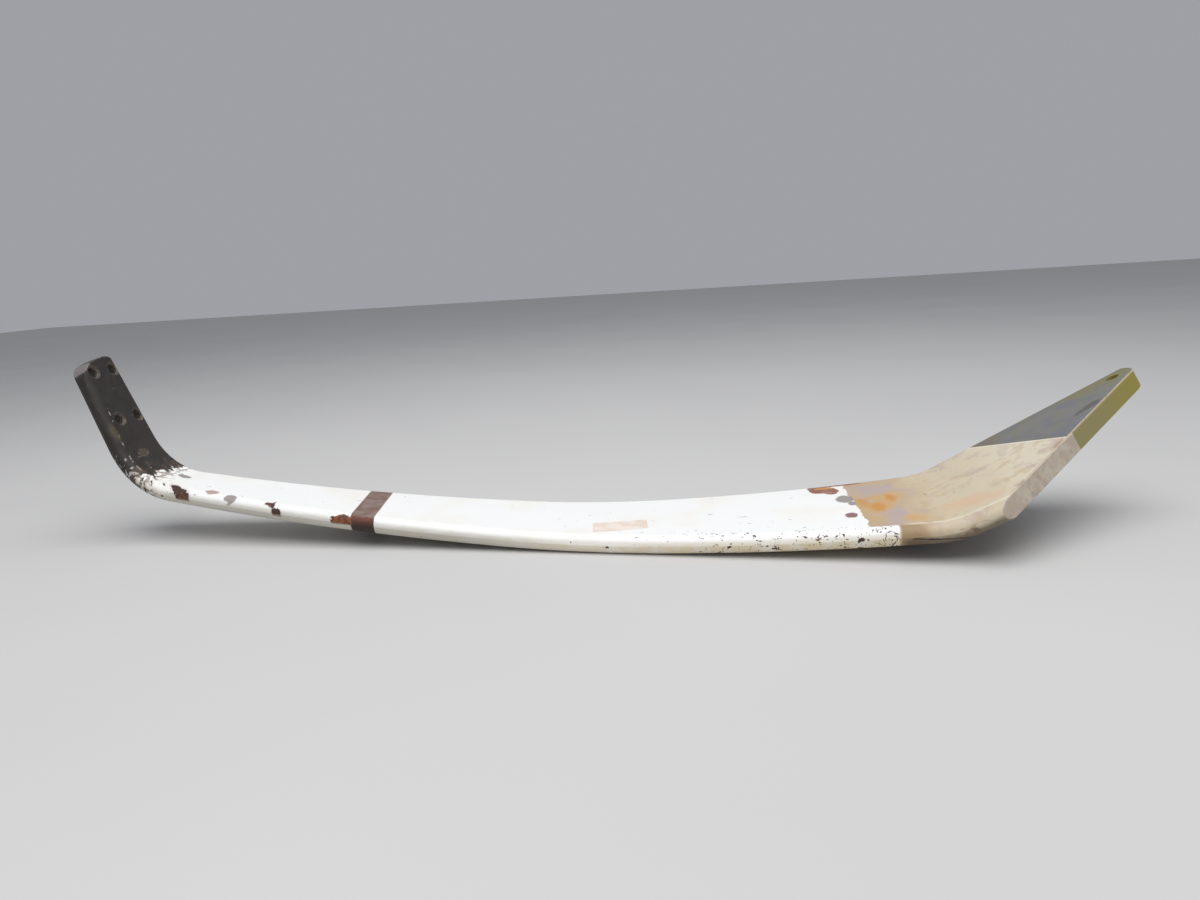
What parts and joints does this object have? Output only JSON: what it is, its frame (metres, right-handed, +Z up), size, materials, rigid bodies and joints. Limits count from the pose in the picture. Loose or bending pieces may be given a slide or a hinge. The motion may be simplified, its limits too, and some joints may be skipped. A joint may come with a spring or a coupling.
{
  "type": "landing gear leg",
  "caption": "Bent flat spring-steel main gear leg with a drilled axle pad at one end and a slant-cut root with a bolt lug at the other.",
  "frame": {"origin": "centre of the bounding box's base: the leg lies at rest on its convex side, and the floor is Z = 0", "axes": "+X along the leg, from the axle pad to the root that the fuselage clamps; +Y across the leg, to the edge that carries the root bolt's lug; +Z up"},
  "size_m": [1.0728, 0.1743, 0.1978],
  "materials": {
    "painted_steel": "worn gloss white, with a cream and olive root and a black axle pad",
    "tape": "matt, aged"
  },
  "bodies": {
    "root": {"spring_leg": "painted_steel", "tape_strip": "tape"}
  },
  "joints": []
}
